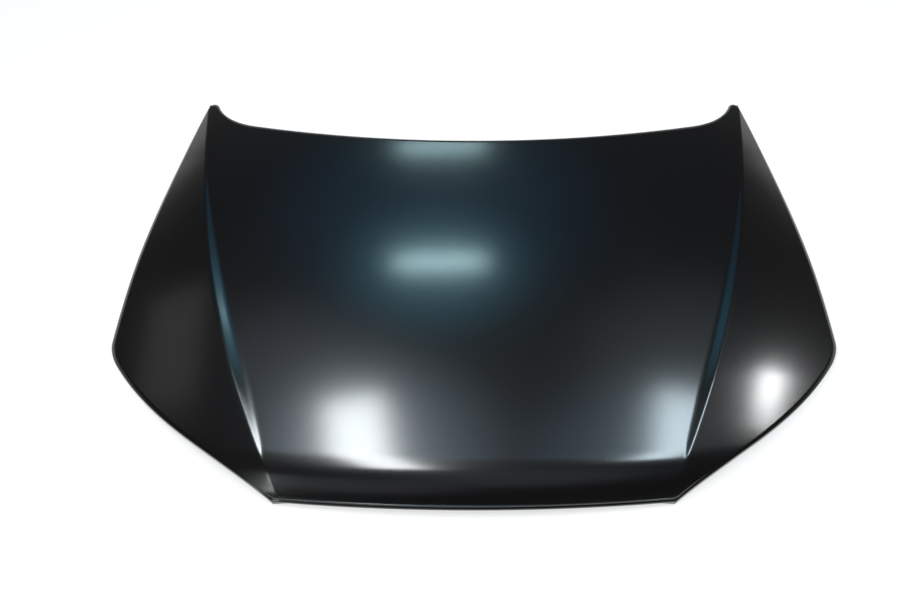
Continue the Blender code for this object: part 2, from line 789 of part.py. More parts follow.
def pressed_plate(name, centre, size_x, size_y, bottom, thickness, holes, material, root):
    """A small plate with a raised rim, lying flat on a seat at the height bottom."""
    corners = rectangle(centre, size_x, size_y)
    top = bottom + thickness
    rim = at_height(rounded_loop(corners, SEAT_CORNER_RADIUS, 0.0), top + RIM_RISE)
    foot = at_height(rounded_loop(corners, SEAT_CORNER_RADIUS, -RIM_RUN), top)
    return sheet(name, rim, [foot], [at_height(hole, top) for hole in holes], thickness, material, root)


def prism_ring(outer_rings, bore, material, name, root):
    """A closed ring: outer_rings are loops from bottom to top, bore is the plan loop of its hole."""
    count = len(bore)
    bottom = outer_rings[0][0].z
    top = outer_rings[-1][0].z
    rings = outer_rings + [at_height(bore, top), at_height(bore, bottom)]
    vertices = [point for ring in rings for point in ring]
    faces = []
    for r in range(len(rings)):
        following = (r + 1) % len(rings)
        for k in range(count):
            onward = (k + 1) % count
            here = (r * count + k, r * count + onward)
            there = (following * count + onward, following * count + k)
            faces.append(here + there)
    return add_object(name, vertices, faces, material, root)


def hexagon(centre, across_flats, per_side):
    """A hexagon with each side divided, so that it matches a circle of as many points."""
    corner_radius = across_flats / math.sqrt(3.0)
    corners = [
        centre + Vector((math.cos(math.pi / 3.0 * k), math.sin(math.pi / 3.0 * k))) * corner_radius
        for k in range(6)
    ]
    return [corners[k].lerp(corners[(k + 1) % 6], i / per_side) for k in range(6) for i in range(per_side)]


def weld_nut(name, centre, bottom, material, root):
    outside = hexagon(centre, NUT_ACROSS_FLATS, ROUND_SIDES // 6)
    bore = [
        centre + Vector((math.cos(a), math.sin(a))) * NUT_BORE_RADIUS
        for a in (2.0 * math.pi * k / ROUND_SIDES for k in range(ROUND_SIDES))
    ]
    rings = [at_height(outside, bottom), at_height(outside, bottom + NUT_HEIGHT)]
    return prism_ring(rings, bore, material, name, root)


def solid_of_rings(name, rings, material, root):
    """A closed solid from loops of equal length, bottom to top, capped at both ends."""
    count = len(rings[0])
    vertices = [point for ring in rings for point in ring]
    faces = [tuple(reversed(range(count)))]
    for r in range(len(rings) - 1):
        for k in range(count):
            onward = (k + 1) % count
            faces.append((r * count + k, r * count + onward, (r + 1) * count + onward, (r + 1) * count + k))
    faces.append(tuple((len(rings) - 1) * count + k for k in range(count)))
    return add_object(name, vertices, faces, material, root)


def striker_bolt(name, centre, seat, material, root):
    """A flange bolt that points up: seat is the height of the face under its flange."""
    nut_top = LATCH_SEAT_TOP + SEAT_GAP + LATCH_PLATE_THICKNESS + SEAT_GAP + NUT_HEIGHT
    head = hexagon(centre, NUT_ACROSS_FLATS, ROUND_SIDES // 6)
    flange = circle_from_axis(centre, BOLT_FLANGE_RADIUS)
    shank = circle_from_axis(centre, BOLT_RADIUS)
    tip = circle_from_axis(centre, BOLT_RADIUS * BOLT_TIP_TAPER)
    flange_bottom = seat - BOLT_FLANGE_HEIGHT
    rings = [
        at_height(head, flange_bottom - BOLT_HEAD_HEIGHT),
        at_height(head, flange_bottom),
        at_height(flange, flange_bottom + BOLT_FLANGE_HEIGHT * BOLT_FLANGE_RIM_SHARE),
        at_height(flange, seat),
        at_height(shank, seat),
        at_height(shank, nut_top),
        at_height(tip, nut_top + BOLT_RADIUS * BOLT_TIP_SHARE),
    ]
    return solid_of_rings(name, rings, material, root)


def circle_from_axis(centre, radius):
    """A circle whose first point lies on +X, to match the hexagon's corners."""
    angles = [2.0 * math.pi * k / ROUND_SIDES for k in range(ROUND_SIDES)]
    return [centre + Vector((math.cos(a), math.sin(a))) * radius for a in angles]


def striker_hoop(plate_bottom, material, root):
    """A rod bent into a hoop, both ends on the plate."""
    half = STRIKER_SPAN / 2.0
    top = plate_bottom - SEAT_GAP
    low = plate_bottom - STRIKER_DROP
    path = [Vector((-half, LATCH_CENTRE.y, z)) for z in (top, low + STRIKER_BEND_RADIUS)]
    bend = [math.radians(a) for a in (22.5, 45.0, 67.5, 90.0)]
    for a in bend:
        x = -half + STRIKER_BEND_RADIUS * (1.0 - math.cos(a))
        path.append(Vector((x, LATCH_CENTRE.y, low + STRIKER_BEND_RADIUS * (1.0 - math.sin(a)))))
    path += [Vector((-p.x, p.y, p.z)) for p in reversed(path)]
    curve = bpy.data.curves.new("striker_hoop", "CURVE")
    curve.dimensions = "3D"
    curve.bevel_depth = STRIKER_ROD_RADIUS
    curve.bevel_resolution = 2
    curve.use_fill_caps = True
    spline = curve.splines.new("POLY")
    spline.points.add(len(path) - 1)
    for place, point in zip(spline.points, path):
        place.co = (*point, 1.0)
    curve.materials.append(material)
    part = bpy.data.objects.new("striker_hoop", curve)
    bpy.context.scene.collection.objects.link(part)
    part.parent = root
    return part


def mastic_pad(name, centre, material, root):
    """A drop of mastic squeezed between a land of the frame and the skin."""
    rings = []
    for share, scale in ((0.0, 1.0), (0.5, MASTIC_BULGE), (1.0, 1.0)):
        ring = []
        for point in circle(centre, MASTIC_RADIUS * scale, MASTIC_SIDES):
            low = land_height(point.x, point.y) + SEAT_GAP
            high = skin_height(point.x, point.y) - SKIN_THICKNESS - MASTIC_SKIN_GAP
            ring.append(Vector((point.x, point.y, mix(low, high, share))))
        rings.append(ring)
    return solid_of_rings(name, rings, material, root)


def mastic_places():
    """The middle of the front and rear land of each cut-out between the ribs, right half."""
    places = []
    for corners in cutouts()[:4]:
        front = (corners[0] + corners[1]) / 2.0
        rear = (corners[2] + corners[3]) / 2.0
        places.append(front - Vector((0.0, LAND_WIDTH / 2.0)))
        places.append(rear + Vector((0.0, LAND_WIDTH / 2.0)))
    return places


def hinge_side(side, sign, steel, nut_steel, root):
    """Reinforcement plate and weld nuts over one hinge seat."""
    centre = Vector((sign * HINGE_CENTRE.x, HINGE_CENTRE.y))
    bolts = [centre + Vector((0.0, end * HINGE_BOLT_PITCH)) for end in (-0.5, 0.5)]
    bottom = HINGE_SEAT_TOP + SEAT_GAP
    pressed_plate(
        "hinge_reinforcement_" + side,
        centre,
        HINGE_SEAT_WIDTH - 2.0 * HINGE_PLATE_MARGIN,
        HINGE_SEAT_LENGTH - 2.0 * HINGE_PLATE_MARGIN,
        bottom,
        HINGE_PLATE_THICKNESS,
        [circle(bolt, BOLT_HOLE_RADIUS) for bolt in bolts],
        steel,
        root,
    )
    for end, bolt in zip(("front", "rear"), bolts):
        seat = bottom + HINGE_PLATE_THICKNESS + SEAT_GAP
        weld_nut("hinge_weld_nut_" + side + "_" + end, bolt, seat, nut_steel, root)


def latch_group(steel, nut_steel, bolt_steel, root):
    """Plate, nuts, striker and bolts in the middle of the front channel."""
    bolts = [LATCH_CENTRE + Vector((side * STRIKER_BOLT_PITCH, 0.0)) for side in (-0.5, 0.5)]
    bottom = LATCH_SEAT_TOP + SEAT_GAP
    margin = 2.0 * HINGE_PLATE_MARGIN
    pressed_plate(
        "latch_reinforcement",
        LATCH_CENTRE,
        LATCH_SEAT_LENGTH - margin,
        LATCH_SEAT_WIDTH - margin,
        bottom,
        LATCH_PLATE_THICKNESS,
        [circle(bolt, BOLT_HOLE_RADIUS) for bolt in bolts],
        steel,
        root,
    )
    plate_top = LATCH_SEAT_TOP - FRAME_THICKNESS - SEAT_GAP
    plate_bottom = plate_top - STRIKER_PLATE_THICKNESS
    corners = rectangle(LATCH_CENTRE, STRIKER_PLATE_LENGTH, STRIKER_PLATE_WIDTH)
    outline = at_height(rounded_loop(corners, SEAT_CORNER_RADIUS, 0.0), plate_top)
    holes = [at_height(circle(bolt, BOLT_HOLE_RADIUS), plate_top) for bolt in bolts]
    sheet("striker_plate", outline, [], holes, STRIKER_PLATE_THICKNESS, steel, root)
    striker_hoop(plate_bottom, bolt_steel, root)
    for side, bolt in zip(("left", "right"), bolts):
        nut_seat = bottom + LATCH_PLATE_THICKNESS + SEAT_GAP
        weld_nut("striker_weld_nut_" + side, bolt, nut_seat, nut_steel, root)
        striker_bolt("striker_bolt_" + side, bolt, plate_bottom - SEAT_GAP, bolt_steel, root)


def lowest_point():
    """Lowest height of the skin's hem, which is what the bonnet lies on."""
    grid = plan_grid()
    return min(hem_bottom(grid[j][i]) for j, i in edge_indices())


def build():
    clear_scene()
    primer = finish("black_electrocoat", (0.012, 0.012, 0.013), 0.32, 0.0)
    frame_primer = finish("black_electrocoat_frame", (0.014, 0.014, 0.015), 0.45, 0.0)
    plate_primer = finish("black_electrocoat_plates", (0.014, 0.014, 0.015), 0.45, 0.0)
    zinc = finish("zinc_plated_steel", (0.55, 0.55, 0.52), 0.38, 1.0)
    mastic = finish("grey_mastic", (0.10, 0.10, 0.10), 0.85, 0.0)

    root = bpy.data.objects.new("bonnet", None)
    bpy.context.scene.collection.objects.link(root)
    root.location = (0.0, 0.0, -lowest_point())

    outer_panel(primer, root)
    inner_frame(frame_primer, root)
    hinge_side("right", 1.0, plate_primer, zinc, root)
    hinge_side("left", -1.0, plate_primer, zinc, root)
    latch_group(plate_primer, zinc, zinc, root)
    number = 0
    for place in mastic_places():
        for sign in (-1.0, 1.0):
            number += 1
            mastic_pad("mastic_pad_%02d" % number, Vector((sign * place.x, place.y)), mastic, root)


build()
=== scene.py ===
import math

import bmesh
import bpy
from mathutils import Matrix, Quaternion, Vector


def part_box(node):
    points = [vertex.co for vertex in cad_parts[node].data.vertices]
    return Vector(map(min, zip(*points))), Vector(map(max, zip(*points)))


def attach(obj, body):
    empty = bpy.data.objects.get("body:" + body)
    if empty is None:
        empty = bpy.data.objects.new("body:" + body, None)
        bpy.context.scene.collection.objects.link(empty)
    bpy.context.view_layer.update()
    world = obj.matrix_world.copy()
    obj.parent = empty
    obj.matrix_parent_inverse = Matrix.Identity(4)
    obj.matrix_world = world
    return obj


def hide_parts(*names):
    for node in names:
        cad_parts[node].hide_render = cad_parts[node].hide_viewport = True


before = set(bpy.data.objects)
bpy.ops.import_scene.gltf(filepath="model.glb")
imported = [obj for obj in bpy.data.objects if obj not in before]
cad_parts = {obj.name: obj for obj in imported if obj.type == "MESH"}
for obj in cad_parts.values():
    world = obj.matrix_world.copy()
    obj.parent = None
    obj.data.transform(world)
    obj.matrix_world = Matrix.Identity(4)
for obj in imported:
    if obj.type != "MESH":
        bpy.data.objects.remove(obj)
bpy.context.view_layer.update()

# Outer skin
# One sheet of 0.8 mm deep-drawing steel, pressed to its crown, ridges and rolled front. Its edge is turned
# down and folded back under itself as a hem. It is dipped whole in black electrocoat, hem and all.

LENGTH = 1.047
FRONT_Y = -LENGTH / 2.0
REAR_Y = LENGTH / 2.0
HALF_WIDTH = 0.757
FRONT_CORNER_X = HALF_WIDTH - 0.370
FRONT_BOW = 0.0215
LAMP_EDGE_DEPTH = 0.3465
LAMP_BOWS = (0.0212, 0.0510)
SIDE_EDGE_BOW = 0.0141
WIDEST_CORNER_PULL = 0.003
WIDEST_CORNER_TRIM = 0.022
WIDEST_CORNER_ROUND = 0.6
COWL_Y = REAR_Y - 0.177
COWL_RADIUS = 1.707
HORN_OUTER_X = HALF_WIDTH - 0.1055
HORN_WIDTH = 0.0283
HORN_LENGTH = 0.107
HORN_ROUND = 0.017
HORN_TIP_DROP = 0.75
HORN_LEAN_INNER = 0.3
HORN_LEAN_OUTER = -0.15
HORN_ROOT_X = HORN_OUTER_X - HORN_WIDTH - HORN_LENGTH
HORN_ROOT_SHARE = 0.74
HORN_ROOT_PULL = 0.52
HORN_SIDE_PULL = 0.36
HORN_SIDE_LEAN = 0.42

CROWN_RADIUS = 4.8
SWEEP_RADIUS = 3.2
SWEEP_TOP_Y = -0.028
ROLL_LENGTH = 0.085
ROLL_RADIUS = 0.110
RIDGE_FRONT_X = FRONT_CORNER_X - 0.0248
RIDGE_PULLS = (0.634, 0.852)
RIDGE_ROUND = 0.0025
BAND_WIDTH = 0.0242
BAND_ANGLES = (math.radians(8.0), math.radians(13.0))
BAND_TURN = (FRONT_Y + 0.165, FRONT_Y + 0.285)
BAND_FRONT_Y = FRONT_Y + 0.086
BAND_REAR_Y = COWL_Y - 0.014
BAND_WIDEST_POWER = 0.6
VALLEY_ROUND = 0.008
WING_ANGLES = (math.radians(5.5), math.radians(16.0))
WING_RADIUS = 4.0

SHEET = 0.0008
EDGE_RADIUS = 0.005
FOLD_RADIUS = 0.0012
FRONT_LIP = 0.008
LAMP_LIP = 0.0165
SIDE_LIP = 0.008
LIP_TURN_FRONT = 0.035
LIP_TURN_BEFORE = 0.020
LIP_TURN_AFTER = 0.100
HEM_WIDTH = 0.012
HORN_HEM_WIDTH = 0.004
HORN_HEM_SPAN = (0.015, 0.070)


def mix(a, b, t):
    return a + (b - a) * t


def ease(value, start, end):
    """0 before start, 1 after end, a smooth turn between."""
    t = min(1.0, max(0.0, (value - start) / (end - start)))
    return t * t * (3.0 - 2.0 * t)


def bezier(a, b, c, d, t):
    s = 1.0 - t
    return s**3 * a + 3.0 * s * s * t * b + 3.0 * s * t * t * c + t**3 * d


def soft_ramp(distance, softness):
    """0 on one side of a crease and the distance on the other, rounded by a parabola between."""
    if distance <= -softness:
        return 0.0
    if distance >= softness:
        return distance
    return (distance + softness) ** 2 / (4.0 * softness)


def front_edge_y(x):
    return FRONT_Y + FRONT_BOW * (x / FRONT_CORNER_X) ** 2


def cowl_edge_y(x):
    return COWL_Y + x * x / (2.0 * COWL_RADIUS)


def ridge_x(y):
    """The sharp ridge in plan, from beside the front corner to the outer side of the horn."""
    pulls = [mix(RIDGE_FRONT_X, HORN_OUTER_X, share) for share in RIDGE_PULLS]
    return bezier(RIDGE_FRONT_X, *pulls, HORN_OUTER_X, 0.5 + y / LENGTH)


def band_width(y):
    """Width of the narrow facet inside the ridge, which runs out to nothing at both of its ends."""
    t = (y - BAND_FRONT_Y) / (BAND_REAR_Y - BAND_FRONT_Y)
    if t <= 0.0 or t >= 1.0:
        return 0.0
    return BAND_WIDTH * math.sin(math.pi * t**BAND_WIDEST_POWER)


def crown_height(x, y):
    """Height of the skin over the top of its crown."""
    x = abs(x)
    height = -x * x / (2.0 * CROWN_RADIUS) - (y - SWEEP_TOP_Y) ** 2 / (2.0 * SWEEP_RADIUS)
    ridge = ridge_x(y)
    width = band_width(y)
    rise = math.tan(mix(*BAND_ANGLES, ease(y, *BAND_TURN)))
    height += rise * soft_ramp(x - ridge + width, max(RIDGE_ROUND, VALLEY_ROUND * width / BAND_WIDTH))
    beyond = soft_ramp(x - ridge, RIDGE_ROUND)
    wing_angle = mix(*WING_ANGLES, ease(y, 0.0, REAR_Y))
    height -= (rise + math.tan(wing_angle)) * beyond + beyond * beyond / (2.0 * WING_RADIUS)
    rolled = ROLL_LENGTH - (y - front_edge_y(x))
    if rolled > 0.0:
        height -= ROLL_RADIUS - math.sqrt(ROLL_RADIUS**2 - rolled**2)
    return height


FRONT_CORNER = Vector((FRONT_CORNER_X, front_edge_y(FRONT_CORNER_X)))
WIDEST_CORNER = Vector((HALF_WIDTH + WIDEST_CORNER_PULL, FRONT_Y + LAMP_EDGE_DEPTH))
HORN_OUTER = Vector((HORN_OUTER_X, REAR_Y - HORN_ROUND * HORN_TIP_DROP))
HORN_INNER = HORN_OUTER - Vector((HORN_WIDTH, 0.0))


def bowed_edge(start, end, bow_start, bow_end, t):
    """A shallow curve from start to end that bows out to the right of its chord."""
    chord = end - start
    out = Vector((chord.y, -chord.x)).normalized()
    first_pull = start + chord / 3.0 + out * bow_start
    last_pull = start + chord * 2.0 / 3.0 + out * bow_end
    return bezier(start, first_pull, last_pull, end, t)


def lamp_edge(t):
    return bowed_edge(FRONT_CORNER, WIDEST_CORNER, *LAMP_BOWS, t)


def side_edge(t):
    bow = SIDE_EDGE_BOW * 4.0 / 3.0
    return bowed_edge(WIDEST_CORNER, HORN_OUTER, bow, bow, t)


def outer_edge(v):
    """Lamp edge, rounded widest corner and side edge, from the front corner to the horn."""
    run = HORN_OUTER.y - FRONT_CORNER.y
    corner = (WIDEST_CORNER.y - FRONT_CORNER.y) / run
    trim = WIDEST_CORNER_TRIM / run
    if v <= corner - trim:
        return lamp_edge(v / corner)
    if v >= corner + trim:
        return side_edge((v - corner) / (1.0 - corner))
    before = lamp_edge((corner - trim) / corner)
    after = side_edge(trim / (1.0 - corner))
    pull_before = before.lerp(WIDEST_CORNER, WIDEST_CORNER_ROUND)
    pull_after = after.lerp(WIDEST_CORNER, WIDEST_CORNER_ROUND)
    return bezier(before, pull_before, pull_after, after, (v - corner + trim) / (2.0 * trim))


def cowl_edge(u):
    """The edge at the windscreen, from the mid line to the inner corner of the horn."""
    if u <= HORN_ROOT_SHARE:
        x = HORN_ROOT_X * u / HORN_ROOT_SHARE
        return Vector((x, cowl_edge_y(x)))
    root = Vector((HORN_ROOT_X, cowl_edge_y(HORN_ROOT_X)))
    along = Vector((1.0, HORN_ROOT_X / COWL_RADIUS)) * HORN_LENGTH * HORN_ROOT_PULL
    up_horn = Vector((HORN_SIDE_LEAN, 1.0)) * HORN_LENGTH * HORN_SIDE_PULL
    t = (u - HORN_ROOT_SHARE) / (1.0 - HORN_ROOT_SHARE)
    return bezier(root, root + along, HORN_INNER - up_horn, HORN_INNER, t)


def horn_tip(s):
    """The rounded tip of the horn, from its inner to its outer side."""
    pull_inner = HORN_INNER + Vector((HORN_LEAN_INNER, 1.0)) * HORN_ROUND
    pull_outer = HORN_OUTER + Vector((HORN_LEAN_OUTER, 1.0)) * HORN_ROUND
    return bezier(HORN_INNER, pull_inner, pull_outer, HORN_OUTER, s)


def steps(*stretches):
    """Values from 0 to 1 in stretches of (end, count), evenly spaced in each."""
    values = [0.0]
    for end, count in stretches:
        start = values[-1]
        values += [mix(start, end, (i + 1) / count) for i in range(count)]
    return values


RIDGE_TIP_SHARE = 0.80
LEAST_BAND = RIDGE_ROUND * 3.0
FOOT_CLEARANCE = VALLEY_ROUND * 0.7
HORN_MERGE = (0.85, 1.0)
skin_rows = steps((0.05, 14), (0.12, 12), (0.86, 96), (1.0, 26))
field_columns = steps((0.60, 24), (0.92, 18), (1.0, 8))
band_columns = steps((1.0, 14))
wing_columns = steps((1.0, 30))


def crease_point(share, v):
    """A grid point from the band's foot, at share 0, to the ridge, at share 1, ending on the horn's tip."""
    tip = horn_tip(RIDGE_TIP_SHARE * share)
    foot = -max(band_width(mix(FRONT_CORNER.y, REAR_Y, v)), LEAST_BAND) - FOOT_CLEARANCE
    offset = mix(foot, -RIDGE_ROUND, share)
    front_offset = mix(-LEAST_BAND - FOOT_CLEARANCE, -RIDGE_ROUND, share)
    front_x = ridge_x(front_edge_y(RIDGE_FRONT_X)) + front_offset
    y = mix(front_edge_y(front_x), tip.y, v)
    return Vector((ridge_x(y) + mix(offset, tip.x - ridge_x(tip.y), ease(v, *HORN_MERGE)), y))


def ridge_side(v):
    """The grid line just outside the ridge."""
    tip = horn_tip(RIDGE_TIP_SHARE)
    y = mix(front_edge_y(ridge_x(front_edge_y(RIDGE_FRONT_X)) + RIDGE_ROUND), tip.y, v)
    return Vector((ridge_x(y) + mix(RIDGE_ROUND, tip.x - ridge_x(tip.y), ease(v, *HORN_MERGE)), y))


def field_point(u, v):
    """A patch blended between the mid line, the band's foot and the front and windscreen edges."""
    reach = crease_point(0.0, 0.0).x
    across = Vector((reach * u, front_edge_y(reach * u))).lerp(cowl_edge(u), v)
    along = Vector((0.0, mix(FRONT_Y, COWL_Y, v))).lerp(crease_point(0.0, v), u)
    front_chord = Vector((0.0, FRONT_Y)).lerp(Vector((reach, front_edge_y(reach))), u)
    rear_chord = cowl_edge(0.0).lerp(cowl_edge(1.0), u)
    return across + along - front_chord.lerp(rear_chord, v)


def skin_row(v):
    """Plan points of one row of the right half, from the mid line to the outer edge."""
    row = [field_point(u, v) for u in field_columns]
    row += [crease_point(share, v) for share in band_columns[1:]]
    start = ridge_side(v)
    row.append(row[-1].lerp(start, 0.5))
    row.append(start)
    for u in wing_columns[1:]:
        if v >= 1.0:
            row.append(horn_tip(mix(RIDGE_TIP_SHARE, 1.0, u)))
        else:
            row.append(start.lerp(outer_edge(v), u))
    return row


def lip_drop(point):
    """How far the turned-down edge hangs below the surface."""
    x = abs(point.x)
    if point.y <= FRONT_CORNER.y:
        return mix(FRONT_LIP, LAMP_LIP, ease(x, FRONT_CORNER_X - LIP_TURN_FRONT, FRONT_CORNER_X))
    turned = ease(point.y, WIDEST_CORNER.y - LIP_TURN_BEFORE, WIDEST_CORNER.y + LIP_TURN_AFTER)
    return mix(LAMP_LIP, SIDE_LIP, turned)


def hem_width(point):
    away = (Vector((abs(point.x), point.y)) - HORN_INNER.lerp(HORN_OUTER, 0.5)).length
    return mix(HORN_HEM_WIDTH, HEM_WIDTH, ease(away, *HORN_HEM_SPAN))


def hem_bottom(point):
    return crown_height(point.x, point.y) - lip_drop(point)


def whole_row(half):
    """A row of the right half with its mirror image, from the left edge to the right edge."""
    return [Vector((-p.x, p.y)) for p in reversed(half[1:])] + half


def edge_loop(grid):
    """Places along the grid's edge, anticlockwise from the front left corner."""
    last_row = len(grid) - 1
    last_column = len(grid[0]) - 1
    front = [(0, i) for i in range(last_column)]
    right = [(j, last_column) for j in range(last_row)]
    rear = [(last_row, i) for i in range(last_column, 0, -1)]
    left = [(j, 0) for j in range(last_row, 0, -1)]
    return front + right + rear + left


grid = [whole_row(skin_row(v)) for v in skin_rows]
edge = edge_loop(grid)
outline = [grid[j][i].copy() for j, i in edge]
edge_out = []
for k, point in enumerate(outline):
    along = (point - outline[k - 1]).normalized() + (outline[(k + 1) % len(outline)] - point).normalized()
    edge_out.append(Vector((along.y, -along.x)).normalized())

SKIN_FLOOR = -min(hem_bottom(point) for point in outline)

for (j, i), out in zip(edge, edge_out):
    grid[j][i] = grid[j][i] - out * EDGE_RADIUS
wing_count = len(wing_columns)
for row in grid[1:-1]:
    for k, u in enumerate(wing_columns):
        row[-wing_count + k] = row[-wing_count].lerp(row[-1], u)
        row[wing_count - 1 - k] = row[wing_count - 1].lerp(row[0], u)

skin_points = []
skin_index = {}
for j, row in enumerate(grid):
    for i, point in enumerate(row):
        skin_index[j, i] = len(skin_points)
        skin_points.append((point.x, point.y, crown_height(point.x, point.y) + SKIN_FLOOR))
skin_faces = []
for j in range(len(grid) - 1):
    for i in range(len(grid[0]) - 1):
        corners = ((j, i), (j, i + 1), (j + 1, i + 1), (j + 1, i))
        skin_faces.append(tuple(skin_index[corner] for corner in corners))

edge_rings = [("edge", degrees) for degrees in (18.0, 36.0, 54.0, 72.0, 90.0)]
fold_rings = [("fold", degrees) for degrees in (0.0, 30.0, 60.0, 90.0)]
previous = [skin_index[place] for place in edge]
for kind, degrees in edge_rings + fold_rings + [("hem", 0.0)]:
    angle = math.radians(degrees)
    ring = []
    for point, out in zip(outline, edge_out):
        surface = crown_height(point.x, point.y) + SKIN_FLOOR
        bottom = surface - lip_drop(point)
        if kind == "edge":
            inset = EDGE_RADIUS * (1.0 - math.sin(angle))
            height = surface - EDGE_RADIUS * (1.0 - math.cos(angle))
        elif kind == "fold":
            inset = FOLD_RADIUS * (1.0 - math.cos(angle))
            height = bottom + FOLD_RADIUS * (1.0 - math.sin(angle))
        else:
            inset = hem_width(point)
            height = bottom
        place = point - out * inset
        ring.append(len(skin_points))
        skin_points.append((place.x, place.y, height))
    for k in range(len(ring)):
        onward = (k + 1) % len(ring)
        skin_faces.append((previous[k], ring[k], ring[onward], previous[onward]))
    previous = ring


class Reading:
    """One output of a node. Arithmetic on it adds Math nodes, and a name in brackets gives another output."""

    def __init__(self, nodes, socket):
        self.nodes = nodes
        self.socket = socket

    def __getitem__(self, output):
        return Reading(self.nodes, self.socket.node.outputs[output])

    def calculate(self, operation, other):
        return self.nodes.add("ShaderNodeMath", {"operation": operation}, {0: self, 1: other})

    def __add__(self, other):
        return self.calculate("ADD", other)

    def __mul__(self, other):
        return self.calculate("MULTIPLY", other)

    __radd__ = __add__
    __rmul__ = __mul__


class Nodes:
    """A node tree that is filled through one method."""

    def __init__(self, tree):
        self.tree = tree

    def connect(self, node, sockets):
        for key, value in sockets.items():
            if isinstance(value, Reading):
                self.tree.links.new(value.socket, node.inputs[key])
            else:
                node.inputs[key].default_value = value

    def add(self, kind, settings, sockets, output=0):
        """Adds a node with its settings, then the values or links of its sockets, and gives one output."""
        node = self.tree.nodes.new(kind)
        for key, value in settings.items():
            setattr(node, key, value)
        self.connect(node, sockets)
        return Reading(self, node.outputs[output]) if len(node.outputs) else None


MIX_FIRST_COLOUR = 6
MIX_SECOND_COLOUR = 7
MIX_RESULT = 2


class Recipe(Nodes):
    """A material and the nodes that it is mixed from."""

    def __init__(self, name):
        self.material = bpy.data.materials.new(name)
        self.material.use_nodes = True
        super().__init__(self.material.node_tree)
        self.place = self.add("ShaderNodeTexCoord", {}, {}, "Object")

    def set_shader(self, sockets):
        self.connect(self.tree.nodes["Principled BSDF"], sockets)

    def noise(self, scale, detail):
        return self.add("ShaderNodeTexNoise", {}, {"Vector": self.place, "Scale": scale, "Detail": detail})

    def bump(self, height, distance):
        return self.add("ShaderNodeBump", {}, {"Height": height, "Distance": distance}, "Normal")

    def two_tone(self, share, first, second):
        colours = {0: share, MIX_FIRST_COLOUR: (*first, 1.0), MIX_SECOND_COLOUR: (*second, 1.0)}
        return self.add("ShaderNodeMix", {"data_type": "RGBA"}, colours, MIX_RESULT)


BLUISH_BLACK = (0.0040, 0.0042, 0.0050)
BROWNISH_BLACK = (0.0068, 0.0058, 0.0056)
PEEL_HEIGHT = 0.00004
SANDED_TO_PEEL = 1.5

skin_coat = Recipe("black_electrocoat")
clouds = skin_coat.noise(5.0, detail=4.0)
peel = skin_coat.noise(520.0, detail=1.0)
sanded = skin_coat.noise(38.0, detail=3.0)
skin_coat.set_shader({
    "Base Color": skin_coat.two_tone(clouds, BLUISH_BLACK, BROWNISH_BLACK),
    "Roughness": 0.30 + clouds * 0.05 + sanded * 0.04,
    "Specular IOR Level": 0.10,
    "Coat Weight": 1.0,
    "Coat Roughness": 0.165,
    "Coat IOR": 1.585,
    "Normal": skin_coat.bump(peel + sanded * SANDED_TO_PEEL, PEEL_HEIGHT),
})


def add_piece(name, points, faces, material, smooth_angle=math.pi):
    mesh = bpy.data.meshes.new(name)
    mesh.from_pydata(points, [], faces)
    mesh.shade_smooth()
    mesh.set_sharp_from_angle(angle=smooth_angle)
    mesh.materials.append(material)
    piece = bpy.data.objects.new(name, mesh)
    bpy.context.scene.collection.objects.link(piece)
    return piece


skin = add_piece("bonnet_skin", skin_points, skin_faces, skin_coat.material)
sheet = skin.modifiers.new("sheet", "SOLIDIFY")
sheet.thickness = SHEET
sheet.offset = -1.0
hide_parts("outer_panel")
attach(skin, "root")

# Inner frame
# One pressed sheet under the skin: channels round the edge, ribs across, lands round ten cut-outs, flat seats
# for hinges and lock. Its edge lies in the skin's hem. It is dipped with the skin and comes out duller.

DIPPED_BLACK = (0.010, 0.010, 0.011)
FRAME_PALER = (0.017, 0.016, 0.016)
FRAME_PEEL_HEIGHT = 0.00008

frame_coat = Recipe("black_electrocoat_frame")
frame_clouds = frame_coat.noise(7.0, detail=4.0)
frame_peel = frame_coat.noise(300.0, detail=2.0)
frame_coat.set_shader({
    "Base Color": frame_coat.two_tone(frame_clouds, DIPPED_BLACK, FRAME_PALER),
    "Roughness": 0.36 + frame_clouds * 0.14,
    "Coat Weight": 0.35,
    "Coat Roughness": 0.30,
    "Normal": frame_coat.bump(frame_peel, FRAME_PEEL_HEIGHT),
})

POINT_MERGE = 0.00002
PRESSED_SMOOTH = math.radians(34.0)
solid_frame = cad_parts["inner_frame"]
pressing = bmesh.new()
pressing.from_mesh(solid_frame.data)
pressing.transform(solid_frame.matrix_world)
bmesh.ops.remove_doubles(pressing, verts=pressing.verts, dist=POINT_MERGE)
frame_points = [vertex.co.copy() for vertex in pressing.verts]
pressing.verts.index_update()
frame_faces = [tuple(vertex.index for vertex in face.verts) for face in pressing.faces]
pressing.free()
frame_sheet = add_piece("bonnet_frame", frame_points, frame_faces, frame_coat.material, PRESSED_SMOOTH)
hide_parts("inner_frame")
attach(frame_sheet, "root")

# Reinforcement plates
# Thicker pressed plates that back the hinge seats and the lock seat inside the frame, spot welded before
# the dip, and the striker's base plate, which is bolted on under the lock seat.

PLATE_PALER = (0.020, 0.019, 0.018)

plate_coat = Recipe("black_electrocoat_plates")
plate_clouds = plate_coat.noise(30.0, detail=3.0)
plate_coat.set_shader({
    "Base Color": plate_coat.two_tone(plate_clouds, DIPPED_BLACK, PLATE_PALER),
    "Roughness": 0.40 + plate_clouds * 0.15,
    "Coat Weight": 0.25,
    "Coat Roughness": 0.35,
})
for name in ("hinge_reinforcement_left", "hinge_reinforcement_right", "latch_reinforcement", "striker_plate"):
    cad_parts[name].material_slots[0].material = plate_coat.material

# Weld nuts
# Six hexagonal M8 weld nuts, four on the hinge plates and two on the lock plate, with the threads that the
# bolts go into. Zinc-plated steel, chamfered on the free face and welded down at the other.

